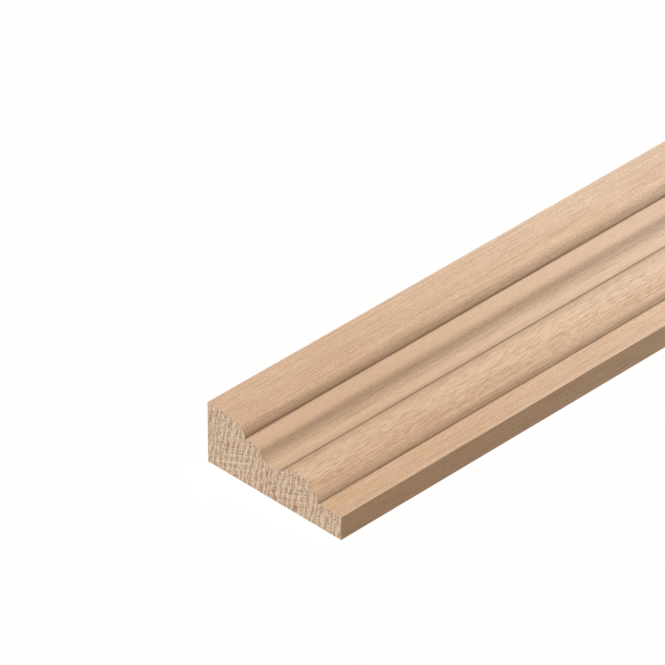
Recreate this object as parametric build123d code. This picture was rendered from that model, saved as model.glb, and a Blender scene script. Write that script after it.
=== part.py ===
from build123d import *
import os

# Barrel moulding: one stick of solid hardwood trim, run through a spindle moulder.
# Millimetres. +X runs along the stick, +Y points to the thick edge, and +Z points
# out of the flat back, on which the stick lies. The origin is the middle of the back.

# The stick
stick_length = 1200.0
thickness = 12.0        # flat back to the top of the thick edge
thin_edge_height = 4.5  # the square edge on the other side

# Widths of the members, in order from the thick edge to the thin edge
crown_width = 5.9       # gently crowned top of the big barrel
nose_width = 2.95       # its rounded nose, down to the quirk
fillet_width = 1.2      # narrow flat at the foot of the big barrel
ogee_width = 5.1        # roll that turns over into the cove
cove_width = 2.05       # far side of the cove, rising to its arris
quirk_width = 0.5       # fine groove between the cove and the small barrel
barrel_width = 8.15     # small barrel
land_width = 5.15       # broad flat beside the thin edge

# How far each member falls or rises
crown_fall = 0.3
nose_fall = 2.6
ogee_fall = 3.0
cove_rise = 0.9
quirk_depth = 0.3       # below the arris of the cove
barrel_lift = 0.35      # start of the small barrel, above the arris of the cove
barrel_bulge = 2.1      # small barrel, above the straight line between its ends
land_fall = 0.15        # the land, towards the thin edge

# Outer arrises, just broken by sanding
arris_radius = 0.2

# Places across the section, measured from the thick edge
crown_end = crown_width
first_quirk = crown_end + nose_width
fillet_end = first_quirk + fillet_width
cove_bottom = fillet_end + ogee_width
cove_arris = cove_bottom + cove_width
barrel_start = cove_arris + quirk_width
barrel_end = barrel_start + barrel_width
width = barrel_end + land_width

# Heights above the back
crown_end_height = thickness - crown_fall
fillet_height = crown_end_height - nose_fall
cove_height = fillet_height - ogee_fall
cove_arris_height = cove_height + cove_rise
quirk_height = cove_arris_height - quirk_depth
barrel_start_height = cove_arris_height + barrel_lift
barrel_end_height = thin_edge_height + land_fall


def place(across, height):
    """A point of the section: distance from the thick edge, and height above the back."""
    return (width / 2 - across, height)


TO_THIN_EDGE = (-1, 0)
TO_THICK_EDGE = (1, 0)


def moulded_face():
    """The run of arcs and flats that the cutters leave, from the thick edge to the thin one."""
    top = place(0, thickness)
    crown = place(crown_end, crown_end_height)
    crown_arc = TangentArc(top, crown, tangent=TO_THIN_EDGE)
    nose_foot = place(first_quirk, fillet_height)
    TangentArc(crown, nose_foot, tangent=crown_arc % 1)

    # The roll and the cove are equal arcs that meet halfway, both level at their far ends.
    roll_start = place(fillet_end, fillet_height)
    turn = place((fillet_end + cove_bottom) / 2, (fillet_height + cove_height) / 2)
    bottom = place(cove_bottom, cove_height)
    arris = place(cove_arris, cove_arris_height)
    Line(nose_foot, roll_start)
    TangentArc(roll_start, turn, tangent=TO_THIN_EDGE)
    TangentArc(bottom, turn, tangent=TO_THICK_EDGE)
    TangentArc(bottom, arris, tangent=TO_THIN_EDGE)

    # A fine V parts the cove from the small barrel.
    quirk = place((cove_arris + barrel_start) / 2, quirk_height)
    barrel_foot = place(barrel_end, barrel_end_height)
    second_start = place(barrel_start, barrel_start_height)
    Polyline(arris, quirk, second_start)
    SagittaArc(barrel_foot, second_start, barrel_bulge)
    Line(barrel_foot, place(width, thin_edge_height))


def section():
    """The closed outline of the stick, with its four outer arrises just broken."""
    with BuildSketch(Plane.YZ) as face:
        with BuildLine():
            moulded_face()
            Polyline(
                place(width, thin_edge_height),
                place(width, 0),
                place(0, 0),
                place(0, thickness),
            )
        make_face()
        corners = face.vertices().group_by(Axis.X)
        thin_edge_corners = corners[0]
        thick_edge_corners = corners[-1]
        fillet(thin_edge_corners + thick_edge_corners, arris_radius)
    return face.sketch


def barrel_moulding():
    """The section run out to the stick's whole length, square at both ends."""
    stick = extrude(section(), stick_length / 2, both=True)
    stick.label = "barrel_moulding"
    return stick


os.makedirs("parts", exist_ok=True)
moulding = barrel_moulding()
export_step(moulding, "parts/barrel_moulding.step")
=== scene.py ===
import math

import bpy
from mathutils import Matrix, Vector


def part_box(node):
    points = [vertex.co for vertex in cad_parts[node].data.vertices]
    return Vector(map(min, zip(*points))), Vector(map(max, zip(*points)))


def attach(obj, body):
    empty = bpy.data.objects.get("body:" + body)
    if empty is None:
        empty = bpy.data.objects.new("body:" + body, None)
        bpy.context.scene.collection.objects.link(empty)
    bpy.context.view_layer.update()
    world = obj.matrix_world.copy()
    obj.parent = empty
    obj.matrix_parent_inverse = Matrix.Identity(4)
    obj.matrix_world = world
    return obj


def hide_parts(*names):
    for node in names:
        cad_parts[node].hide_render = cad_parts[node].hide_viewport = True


# Barrel moulding: one stick of bare, pale eucalypt hardwood, run through a spindle moulder and
# sawn square. Metres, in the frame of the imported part: +X along the stick, +Y to its thick edge,
# +Z out of its flat back, which lies on the floor.

MM = 0.001

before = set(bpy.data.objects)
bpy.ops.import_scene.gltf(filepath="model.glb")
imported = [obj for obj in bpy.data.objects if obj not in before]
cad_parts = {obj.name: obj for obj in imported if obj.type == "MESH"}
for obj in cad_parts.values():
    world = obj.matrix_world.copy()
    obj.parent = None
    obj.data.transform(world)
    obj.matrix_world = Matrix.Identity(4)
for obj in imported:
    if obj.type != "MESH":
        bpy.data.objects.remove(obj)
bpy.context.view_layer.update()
low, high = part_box("barrel_moulding")
LENGTH = high.x - low.x
WIDTH = high.y - low.y
THICKNESS = high.z - low.z
THIN_EDGE = 4.5 * MM

# Widths of the members, in order from the thick edge to the thin edge.
CROWN_WIDTH = 5.9 * MM
NOSE_WIDTH = 2.95 * MM
FILLET_WIDTH = 1.2 * MM
OGEE_WIDTH = 5.1 * MM
COVE_WIDTH = 2.05 * MM
QUIRK_WIDTH = 0.5 * MM
BARREL_WIDTH = 8.15 * MM

# Places across the section, measured from the thick edge.
NOSE_FOOT = CROWN_WIDTH + NOSE_WIDTH
ROLL_START = NOSE_FOOT + FILLET_WIDTH
TURN = ROLL_START + OGEE_WIDTH / 2
COVE_BOTTOM = ROLL_START + OGEE_WIDTH
COVE_ARRIS = COVE_BOTTOM + COVE_WIDTH
QUIRK = COVE_ARRIS + QUIRK_WIDTH / 2
BARREL_START = COVE_ARRIS + QUIRK_WIDTH
BARREL_FOOT = BARREL_START + BARREL_WIDTH

# How far each member falls or rises.
CROWN_FALL = 0.3 * MM
NOSE_FALL = 2.6 * MM
OGEE_FALL = 3.0 * MM
COVE_RISE = 0.9 * MM
QUIRK_DEPTH = 0.3 * MM
BARREL_LIFT = 0.35 * MM
BARREL_BULGE = 2.1 * MM
LAND_FALL = 0.15 * MM

ARRIS_RADIUS = 0.2 * MM
ARC_STEP = math.radians(5)
SHARP_FROM = math.radians(25)  # an edge that turns by more than this is shaded sharp
MERGE_WITHIN = 0.001 * MM
ALIKE_WITHIN = 0.01 * MM
STRIPS = 3  # lengths that the stick's skin is cut into, to lie side by side in its flat map


def across(distance, height):
    """A point of the near end's outline: distance from the thick edge, and height above the back."""
    return Vector((low.x, high.y - distance, height))


def start_pen(point):
    """A plane shrunk to one vertex, which the pen strokes below draw out into the outline."""
    bpy.ops.object.select_all(action="DESELECT")
    bpy.ops.mesh.primitive_plane_add(size=MM, location=point, calc_uvs=False)
    bpy.ops.object.mode_set(mode="EDIT")
    bpy.ops.mesh.merge(type="CENTER")
    return bpy.context.object


def draw_line(start, end):
    """Runs the pen straight on. The new vertex stays selected."""
    bpy.ops.mesh.extrude_region_move(TRANSFORM_OT_translate={"value": end - start})
    return end


def draw_arc(start, end, heading):
    """Spins the pen round the arc that leaves start along heading and ends at end."""
    chord = end - start
    side = Vector((0, -heading.z, heading.y)).normalized()
    radius = chord.length_squared / (2 * chord.dot(side))
    centre = start + side * radius
    turn = 2 * chord.angle(heading) * math.copysign(1, radius)
    steps = max(2, math.ceil(abs(turn) / ARC_STEP))
    bpy.ops.mesh.spin(steps=steps, angle=turn, center=centre, axis=(-1, 0, 0))
    return end, Matrix.Rotation(turn, 3, "X") @ heading


TO_THIN_EDGE = Vector((0, -1, 0))


def draw_moulded_face(pen):
    """The members in the order that the cutters leave them, from the thick edge to the thin one."""
    height = THICKNESS - CROWN_FALL
    pen, heading = draw_arc(pen, across(CROWN_WIDTH, height), TO_THIN_EDGE)
    height -= NOSE_FALL
    pen, heading = draw_arc(pen, across(NOSE_FOOT, height), heading)
    pen = draw_line(pen, across(ROLL_START, height))

    pen, heading = draw_arc(pen, across(TURN, height - OGEE_FALL / 2), TO_THIN_EDGE)
    height -= OGEE_FALL
    pen, heading = draw_arc(pen, across(COVE_BOTTOM, height), heading)
    height += COVE_RISE
    pen, heading = draw_arc(pen, across(COVE_ARRIS, height), TO_THIN_EDGE)

    pen = draw_line(pen, across(QUIRK, height - QUIRK_DEPTH))
    height += BARREL_LIFT
    pen = draw_line(pen, across(BARREL_START, height))
    foot = across(BARREL_FOOT, THIN_EDGE + LAND_FALL)
    chord = foot - pen
    swing = 2 * math.atan(2 * BARREL_BULGE / chord.length)
    heading = Matrix.Rotation(-swing, 3, "X") @ chord.normalized()
    pen, heading = draw_arc(pen, foot, heading)
    return draw_line(pen, across(WIDTH, THIN_EDGE))


def model_stick():
    """The outline drawn at the near end, filled, and run out along the stick."""
    corner = across(0, THICKNESS)
    stick = start_pen(corner)
    pen = draw_moulded_face(corner)
    pen = draw_line(pen, across(WIDTH, 0))
    pen = draw_line(pen, across(0, 0))
    draw_line(pen, corner)
    bpy.ops.mesh.select_all(action="SELECT")
    bpy.ops.mesh.remove_doubles(threshold=MERGE_WITHIN)
    bpy.ops.mesh.edge_face_add()
    for _ in range(STRIPS):
        bpy.ops.mesh.extrude_region_move(TRANSFORM_OT_translate={"value": (LENGTH / STRIPS, 0, 0)})
    bpy.ops.mesh.select_all(action="SELECT")
    bpy.ops.mesh.normals_make_consistent(inside=False)
    bpy.ops.object.mode_set(mode="OBJECT")
    stick.name = "barrel_moulding_stick"
    stick.data.name = stick.name
    return stick


def select_edges(mesh, wanted):
    """Selects the edges whose two ends wanted() picks, for the edit mode that follows."""
    for part in (mesh.polygons, mesh.edges, mesh.vertices):
        for item in part:
            item.select = False
    for edge in mesh.edges:
        a, b = (mesh.vertices[i].co for i in edge.vertices)
        edge.select = wanted(a, b)


def break_arrises(stick):
    """The four outer arrises, just rounded by a touch of sanding."""
    def outer(a, b):
        side = min(abs(a.y - low.y), abs(a.y - high.y))
        level = min(a.z - low.z, abs(a.z - high.z), abs(a.z - THIN_EDGE))
        along = abs(a.x - b.x) > MM
        return along and side < ALIKE_WITHIN and level < ALIKE_WITHIN

    select_edges(stick.data, outer)
    bpy.ops.object.mode_set(mode="EDIT")
    bpy.ops.mesh.select_mode(type="EDGE")
    bpy.ops.mesh.bevel(offset=ARRIS_RADIUS, segments=3, affect="EDGES", clamp_overlap=False)
    bpy.ops.object.mode_set(mode="OBJECT")
    bpy.ops.object.shade_smooth_by_angle(angle=SHARP_FROM)


def place_in_mesh(piece):
    """Moves the piece's place into its mesh, so that its object sits at the origin, unturned."""
    bpy.ops.object.select_all(action="DESELECT")
    piece.select_set(True)
    bpy.context.view_layer.objects.active = piece
    bpy.ops.object.transform_apply(location=True, rotation=True, scale=True)


# The flat map's shares: the height that the two ends take below the strips, where the far end
# starts across it, the gap at every rim, and how much of its lane each strip fills.
ENDS_SHARE = 0.115
FAR_END_START = 0.5
MAP_GAP = 0.004
STRIP_SHARE = 1 - 4 * MAP_GAP


def is_end(face):
    return abs(face.normal.x) > 0.5


def in_section(corner):
    """A corner's place in the section, to the nearest thousandth of a millimetre."""
    return corner.yz.to_tuple(6)


def unrolled(end, mesh):
    """How far round the section each of its corners lies, from an arris of the back, and the girth."""
    outline = [mesh.vertices[i].co for i in end.vertices]
    first = min(range(len(outline)), key=lambda i: (outline[i] - across(0, 0)).length)
    outline = outline[first:] + outline[:first]
    round_to, girth = {}, 0.0
    for corner, following in zip(outline, outline[1:] + outline[:1]):
        round_to[in_section(corner)] = girth
        girth += (following - corner).length
    return round_to, girth


def lay_flat(stick):
    """The stick's own flat map: its skin in strips, and below them its two ends, drawn larger."""
    mesh = stick.data
    round_to, girth = unrolled(min(mesh.polygons, key=lambda face: face.center.x), mesh)
    flat = mesh.uv_layers.new(name="OFBake").data
    strip_length = LENGTH / STRIPS
    end_scale = (ENDS_SHARE - 2 * MAP_GAP) / THICKNESS
    for face in mesh.polygons:
        corners = [(loop, mesh.vertices[mesh.loops[loop].vertex_index].co)
                   for loop in face.loop_indices]
        if is_end(face):
            start = MAP_GAP if face.normal.x < 0 else FAR_END_START
            for loop, corner in corners:
                flat[loop].uv = (start + (corner.y - low.y) * end_scale,
                                 MAP_GAP + corner.z * end_scale)
            continue
        strip = int((face.center.x - low.x) / strip_length)
        furthest = max(round_to[in_section(corner)] for _, corner in corners)
        for loop, corner in corners:
            turn = round_to[in_section(corner)]
            if furthest - turn > girth / 2:
                turn = girth  # the last face closes the skin at the arris where it began
            down = (corner.x - low.x) / strip_length - strip
            flat[loop].uv = ((strip + MAP_GAP + turn / girth * STRIP_SHARE) / STRIPS,
                             ENDS_SHARE + down * (1 - ENDS_SHARE - MAP_GAP))


def linear(hex_colour):
    """An sRGB hex colour as the linear colour that a shader takes."""
    parts = [int(hex_colour[i:i + 2], 16) / 255 for i in (1, 3, 5)]
    return [c / 12.92 if c <= 0.04045 else ((c + 0.055) / 1.055) ** 2.4 for c in parts] + [1.0]


def cleared(owner):
    """The node tree of a new material or world, emptied."""
    owner.use_nodes = True
    owner.node_tree.nodes.clear()
    return owner.node_tree


def add(tree, kind, settings=None, **inputs):
    """Adds a node. settings are its own choices; inputs are values or sockets for its inputs."""
    made = tree.nodes.new(kind)
    for name, value in (settings or {}).items():
        setattr(made, name, value)
    for name, value in inputs.items():
        by_number = name.startswith("_")
        socket = made.inputs[int(name[1:])] if by_number else made.inputs[name.replace("_", " ")]
        if isinstance(value, bpy.types.NodeSocket):
            tree.links.new(value, socket)
        else:
            socket.default_value = value
    return made


def between(tree, value, low_mark, high_mark, to_low=0.0, to_high=1.0):
    """Fades a value in from low_mark to high_mark."""
    return add(tree, "ShaderNodeMapRange", Value=value, From_Min=low_mark, From_Max=high_mark,
               To_Min=to_low, To_Max=to_high).outputs[0]


def product(tree, a, b):
    return add(tree, "ShaderNodeMath", {"operation": "MULTIPLY"}, _0=a, _1=b).outputs[0]


def sum_of(tree, *parts):
    """Adds up (value, share) pairs, each value taken about its middle, on top of one half."""
    total = 0.5
    for value, share in parts:
        centred = add(tree, "ShaderNodeMath", {"operation": "SUBTRACT"}, _0=value, _1=0.5).outputs[0]
        total = add(tree, "ShaderNodeMath", {"operation": "MULTIPLY_ADD"}, _0=centred, _1=share,
                    _2=total).outputs[0]
    return total


def tinted(tree, factor, stops):
    """Colours along a value: (place, hex colour) pairs."""
    ramp = add(tree, "ShaderNodeValToRGB", Fac=factor)
    points = ramp.color_ramp.elements
    while len(points) < len(stops):
        points.new(0.5)
    for point, (position, hex_colour) in zip(points, stops):
        point.position = position
        point.color = linear(hex_colour)
    return ramp.outputs[0]


def painted(tree, colour, amount, paint, blend="MIX"):
    """The colour, with paint over it as far as amount says. MULTIPLY stains it instead."""
    return add(tree, "ShaderNodeMix", {"data_type": "RGBA", "blend_type": blend},
               _0=amount, _6=colour, _7=linear(paint)).outputs[2]


def in_marks(tree, size, turn=(0, 0, 0)):
    """The place in the wood, counted in marks. size is one mark's length along X, Y and Z in mm,
    and turn is how many degrees the marks are turned about each axis."""
    place = add(tree, "ShaderNodeTexCoord").outputs["Object"]
    return add(tree, "ShaderNodeMapping", {"vector_type": "TEXTURE"}, Vector=place,
               Rotation=[math.radians(angle) for angle in turn],
               Scale=[length * MM for length in size]).outputs[0]


def figure(tree, size, turn=(0, 0, 0), detail=0.0, wander=0.0):
    """Soft seeded noise in the wood itself."""
    return add(tree, "ShaderNodeTexNoise", Vector=in_marks(tree, size, turn), Scale=1.0,
               Detail=detail, Roughness=0.55, Distortion=wander).outputs["Fac"]


def finish_wood(tree, colour, roughness, height, relief):
    """Joins the wood's colour, gloss and relief to its shader. relief is the height in mm."""
    bump = add(tree, "ShaderNodeBump", Height=height, Strength=1.0, Distance=relief * MM)
    shader = add(tree, "ShaderNodeBsdfPrincipled", Base_Color=colour, Roughness=roughness,
                 IOR=1.5, Normal=bump.outputs[0])
    add(tree, "ShaderNodeOutputMaterial", Surface=shader.outputs[0])


# The growth rings stand nearly upright in the stick, leaning a little towards the thin edge.
RING_LEAN = 9

# On the small barrel the cutters run out across the fibres, which show as slanting dashes.
DASH_SLANT = 3

# The marks of the moulded face start this far above the back, and are full from there on up.
FACE_START = 0.1 * MM
FACE_FULL = 0.6 * MM

# Painted shade: the wood is painted darker up to this far from each end, and fades to its paler tone
# by here.
END_DARK = 25 * MM
END_PALE = 92 * MM

# The painted shade that darkens the flat of the thin edge starts this far in from it, and is full
# here.
EDGE_START = 0.25 * MM
EDGE_FULL = 0.05 * MM

# Painted shade in the hollows, where less light reaches: the middle of each hollow, its reach
# towards the thick edge and the thin one, and the tint that darkens the wood's colour there.
SHADED_HOLLOWS = (
    (COVE_BOTTOM, 9 * MM, 9 * MM, "#FCFEFF"),  # painted shade over the low members as a whole
    (NOSE_FOOT, 1.1 * MM, 0.4 * MM, "#C9CBCD"),
    (TURN - 0.2 * MM, 0.8 * MM, 2.2 * MM, "#D5D8DB"),
    (QUIRK, 1.0 * MM, 1.05 * MM, "#C5C9CE"),
    (BARREL_FOOT, 0.8 * MM, 0.35 * MM, "#CDD0D2"),
    (NOSE_FOOT, 0.14 * MM, 0.24 * MM, "#C4BBAC"),  # and painted shade as fine dark lines along the quirks
    (COVE_ARRIS, 0.22 * MM, 0.6 * MM, "#D4C8B8"),
    (BARREL_FOOT, 0.1 * MM, 0.2 * MM, "#C0B8AC"),
)

# Where the wood is painted paler, in part as painted highlight: the middle of each place, its reach
# towards the thick edge and the thin one, how much shows of the paler colour, and that colour.
PALE_PLACES_AND_HIGHLIGHTS = (
    (BARREL_START + 3 * MM, 3 * MM, 5.1 * MM, 0.65, "#FFE2C4"),  # the small barrel's top, a painted highlight
    (ROLL_START - 0.4 * MM, 0.8 * MM, 1.6 * MM, 0.3, "#EAD2BC"),  # and paler on the roll and about the cove's bottom
    (COVE_BOTTOM + 0.3 * MM, 2.8 * MM, 2.2 * MM, 0.45, "#EAD2BC"),
    (WIDTH - 0.15 * MM, 0.4 * MM, 0.15 * MM, 1.0, "#EAD2BC"),  # and a painted highlight along the thin edge's arris
)


def peak_at(tree, side, moulded, middle, before, after):
    """1 at middle on the moulded face. It falls to 0 over before, towards the thick edge, and over
    after, towards the thin one, and is 0 on the flat back."""
    rise = between(tree, side, high.y - middle + before, high.y - middle)
    fall = between(tree, side, high.y - middle - after, high.y - middle)
    peak = add(tree, "ShaderNodeMath", {"operation": "MINIMUM"}, _0=rise, _1=fall).outputs[0]
    return product(tree, moulded, peak)


def slanting_dashes(tree, side, moulded):
    """Dashes along the small barrel. They fade in from its start and out towards its foot."""
    begun = between(tree, side, high.y - BARREL_START, high.y - BARREL_START - 2 * MM)
    not_ended = between(tree, side, high.y - BARREL_FOOT, high.y - BARREL_FOOT + 1.5 * MM)
    on_barrel = product(tree, moulded, product(tree, begun, not_ended))
    slanting = figure(tree, (2.2, 0.09, 0.09), (0, 0, DASH_SLANT))
    return product(tree, between(tree, slanting, 0.52, 0.7), on_barrel)


def planed_wood():
    """Tasmanian oak off the moulder: pale straw and biscuit streaks along the stick, with short
    open pores and a dull sheen."""
    material = bpy.data.materials.new("planed_tasmanian_oak")
    tree = cleared(material)
    place = add(tree, "ShaderNodeTexCoord").outputs["Object"]
    along, side, level = add(tree, "ShaderNodeSeparateXYZ", Vector=place).outputs
    moulded = between(tree, level, FACE_START, FACE_FULL)
    rings = figure(tree, (60, 1.2, 5), (RING_LEAN, 0, 0), detail=1, wander=0.2)
    fibre = figure(tree, (22, 0.17, 0.17))
    flecks = figure(tree, (1.5, 0.15, 0.15))
    fuzz = figure(tree, (0.4, 0.12, 0.12))  # loose fibres, drawn coarser than life so that they show
    pores = between(tree, figure(tree, (8, 0.14, 0.14)), 0.6, 0.72)
    dashes = slanting_dashes(tree, side, moulded)

    # The roll came off the cutters smoother than the rest, so its marks are weaker.
    on_roll = peak_at(tree, side, moulded, ROLL_START + 0.8 * MM, 2 * MM, 2.4 * MM)

    def calmed(elsewhere, there):
        return between(tree, on_roll, 0.0, 0.6, elsewhere, there)

    pores = product(tree, pores, calmed(1.0, 0.3))
    tone = sum_of(tree, (rings, 0.05), (fibre, calmed(0.48, 0.1)), (flecks, calmed(0.27, 0.1)),
                  (fuzz, calmed(0.6, 0.4)))
    colour = tinted(tree, tone, ((0.15, "#CDA783"), (0.5, "#E5C4A6"), (0.85, "#F6E0C9")))
    # Paler colour laid over; on the small barrel and the thin edge's arris it is a painted highlight.
    for middle, before, after, share, paler in PALE_PLACES_AND_HIGHLIGHTS:
        amount = product(tree, peak_at(tree, side, moulded, middle, before, after), share)
        colour = painted(tree, colour, amount, paler)
    colour = painted(tree, colour, product(tree, pores, 0.36), "#A5805E")
    colour = painted(tree, colour, product(tree, dashes, 0.46), "#99704A")
    # Painted shade: each hollow's tint darkens the wood's colour, standing in for shade.
    for middle, before, after, shade_tint in SHADED_HOLLOWS:
        amount = peak_at(tree, side, moulded, middle, before, after)
        colour = painted(tree, colour, amount, shade_tint, blend="MULTIPLY")

    # Painted shade: the colour darkens towards each end, standing in for light that falls off there.
    from_middle = add(tree, "ShaderNodeMath", {"operation": "ABSOLUTE"}, _0=along).outputs[0]
    end_shade = between(tree, from_middle, LENGTH / 2 - END_PALE, LENGTH / 2 - END_DARK)
    colour = painted(tree, colour, end_shade, "#EFE7DE", blend="MULTIPLY")
    # Painted shade on the thin edge, the face that the light reaches least.
    thin_edge_shade = between(tree, side, low.y + EDGE_START, low.y + EDGE_FULL)
    colour = painted(tree, colour, thin_edge_shade, "#F4EFE6", blend="MULTIPLY")

    height = sum_of(tree, (fibre, 0.4), (fuzz, 0.4), (pores, -0.5), (dashes, -0.3))
    roughness = between(tree, fibre, 0.3, 0.7, 0.52, 0.66)
    finish_wood(tree, colour, roughness, height, relief=0.02)
    return material


IN_DEPTH = 8  # how many mm the cut end's marks run on into the wood
SAW_TILT = -22


def ring_bands(tree, spacing, wander):
    """The growth rings where the saw cuts them: soft light and dark bands, spacing in mm."""
    one_to_a_unit = math.tau / 20
    return add(tree, "ShaderNodeTexWave", {"wave_type": "BANDS", "bands_direction": "Y"},
               Vector=in_marks(tree, (IN_DEPTH, spacing, 3), (RING_LEAN, 0, 0)),
               Scale=one_to_a_unit, Distortion=wander, Detail=0.0, Detail_Scale=2.0).outputs["Fac"]


def pores_across(tree, size):
    """How far each place of the cut is from its nearest pore, in parts of the pores' spacing."""
    return add(tree, "ShaderNodeTexVoronoi", Vector=in_marks(tree, size),
               Scale=1.0).outputs["Distance"]


def sawn_end():
    """The same wood across the grain: a docking saw leaves matt, torn pores and raised saw marks."""
    material = bpy.data.materials.new("sawn_tasmanian_oak_end")
    tree = cleared(material)
    bands = ring_bands(tree, 1.15, 4.0)
    streaks = figure(tree, (IN_DEPTH, 0.26, 1.2), (RING_LEAN, 0, 0), wander=0.2)
    patches = figure(tree, (IN_DEPTH, 2.5, 2.5), detail=1)
    speckle = figure(tree, (IN_DEPTH, 0.11, 0.12))
    tone = sum_of(tree, (bands, 0.3), (streaks, 0.85), (patches, 0.2), (speckle, 0.7))
    colour = tinted(tree, tone, ((0.2, "#A58166"), (0.45, "#C8A98E"), (0.6, "#DEC2A8"),
                                 (0.8, "#EAD3BB")))
    pore = pores_across(tree, (2, 0.5, 0.6))
    clustered = between(tree, patches, 0.45, 0.55)
    rims = product(tree, between(tree, pore, 0.52, 0.36), clustered)
    colour = painted(tree, colour, product(tree, rims, 0.6), "#EBD4BC")
    holes = product(tree, between(tree, pore, 0.36, 0.24), clustered)
    colour = painted(tree, colour, product(tree, holes, 0.8), "#6B4526")
    saw_marks = between(tree, figure(tree, (IN_DEPTH, 16, 0.11), (SAW_TILT, 0, 0)), 0.6, 0.7)
    colour = painted(tree, colour, product(tree, saw_marks, 0.55), "#F3DFC9")
    height = sum_of(tree, (streaks, 0.4), (speckle, 0.6), (holes, -0.3), (saw_marks, 0.3))
    roughness = between(tree, speckle, 0.3, 0.7, 0.75, 0.9)
    finish_wood(tree, colour, roughness, height, relief=0.04)
    return material


def clothe(stick):
    """Planed wood along the stick, and sawn wood on its two ends."""
    stick.data.materials.append(planed_wood())
    stick.data.materials.append(sawn_end())
    for face in stick.data.polygons:
        face.material_index = 1 if is_end(face) else 0


def seen_directly(tree):
    """1 for what the eye sees, also in gloss or through glass, and 0 for what only sheds light."""
    path = add(tree, "ShaderNodeLightPath")
    seen = path.outputs["Is Camera Ray"]
    for other in ("Is Glossy Ray", "Is Transmission Ray"):
        seen = add(tree, "ShaderNodeMath", {"operation": "MAXIMUM"}, _0=seen,
                   _1=path.outputs[other]).outputs[0]
    return seen


FLOOR_SIZE = 20.0
FLOOR_GAP = 0.02 * MM  # below the back, so that the two faces don't share a plane
PAPER_GLOW = 0.8  # how much of the paper's white is its own, which keeps the shadow soft and pale


def floor_material():
    """Matt white paper. The eye sees it white, with the stick's soft shadow on it."""
    material = bpy.data.materials.new("white_paper_floor")
    tree = cleared(material)
    seen = seen_directly(tree)
    paper = add(tree, "ShaderNodeBsdfDiffuse", Color=linear("#766F65"))
    white = add(tree, "ShaderNodeBsdfDiffuse", Color=linear("#FFFFFF"))
    glow = add(tree, "ShaderNodeEmission", Color=linear("#FFFFFF"), Strength=1.0)
    lit = add(tree, "ShaderNodeMixShader", Fac=PAPER_GLOW, _1=white.outputs[0],
              _2=glow.outputs[0])
    mix = add(tree, "ShaderNodeMixShader", Fac=seen, _1=paper.outputs[0], _2=lit.outputs[0])
    add(tree, "ShaderNodeOutputMaterial", Surface=mix.outputs[0])
    return material


def lay_floor():
    bpy.ops.object.select_all(action="DESELECT")
    bpy.ops.mesh.primitive_plane_add(size=FLOOR_SIZE, location=(0, 0, low.z - FLOOR_GAP))
    floor = bpy.context.object
    floor.name = "floor"
    floor.data.materials.append(floor_material())


# Towards each lamp. The fill stands behind and so low that the crown keeps it out of the hollows.
KEY_DIRECTION = Vector((-0.64, -0.235, 0.723))
KEY_STRENGTH = 3.55
KEY_SOFTNESS = math.radians(25)
FILL_DIRECTION = Vector((0.6, 0.8, 0.09))
FILL_STRENGTH = 1.1
FILL_SOFTNESS = math.radians(8)
SKY_STRENGTH = 0.1


def hang_lamp(name, direction, strength, softness):
    bpy.ops.object.light_add(type="SUN")
    lamp = bpy.context.object
    lamp.name = name
    lamp.data.energy = strength
    lamp.data.angle = softness
    lamp.rotation_euler = direction.to_track_quat("Z", "Y").to_euler()


def light_studio():
    """A broad soft lamp above the near end, a weaker one low behind, and an even pale room."""
    hang_lamp("soft_key", KEY_DIRECTION, KEY_STRENGTH, KEY_SOFTNESS)
    hang_lamp("low_fill", FILL_DIRECTION, FILL_STRENGTH, FILL_SOFTNESS)

    world = bpy.data.worlds.new("pale_room")
    tree = cleared(world)
    seen = seen_directly(tree)
    sky = add(tree, "ShaderNodeBackground", Color=linear("#FFF6EB"), Strength=SKY_STRENGTH)
    white = add(tree, "ShaderNodeBackground", Color=linear("#FFFFFF"), Strength=1.0)
    mix = add(tree, "ShaderNodeMixShader", Fac=seen, _1=sky.outputs[0], _2=white.outputs[0])
    add(tree, "ShaderNodeOutputWorld", Surface=mix.outputs[0])
    bpy.context.scene.world = world
    bpy.context.scene.view_settings.view_transform = "Standard"


# The camera, at the photograph's angle: its turn from the stick's length, its height above the
# horizon, its distance, and how far the picture's middle lies from the near bottom corner.
VIEW_TURN = math.radians(45.038)
VIEW_HEIGHT = math.radians(34.753)
VIEW_DISTANCE = 1144.4 * MM
MIDDLE_LEFT = 1.397 * MM
MIDDLE_UP = 33.78 * MM
SENSOR = 36.0
LENS = 380.8
FURTHEST_SEEN = 100.0


def place_camera():
    back = Vector((
        -math.cos(VIEW_HEIGHT) * math.sin(VIEW_TURN),
        -math.cos(VIEW_HEIGHT) * math.cos(VIEW_TURN),
        math.sin(VIEW_HEIGHT),
    ))
    right = Vector((math.cos(VIEW_TURN), -math.sin(VIEW_TURN), 0))
    up = back.cross(right)
    near_corner = Vector((low.x, low.y, low.z))
    spot = near_corner - right * MIDDLE_LEFT + up * MIDDLE_UP + back * VIEW_DISTANCE
    data = bpy.data.cameras.new("camera")
    data.sensor_width = SENSOR
    data.lens = LENS
    data.clip_end = FURTHEST_SEEN
    camera = bpy.data.objects.new("camera", data)
    bpy.context.scene.collection.objects.link(camera)
    turned = Matrix((right, up, back)).transposed().to_4x4()
    camera.matrix_world = Matrix.Translation(spot) @ turned
    bpy.context.scene.camera = camera


stick = model_stick()
break_arrises(stick)
place_in_mesh(stick)
lay_flat(stick)
clothe(stick)
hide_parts("barrel_moulding")
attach(stick, "root")

lay_floor()
light_studio()
place_camera()
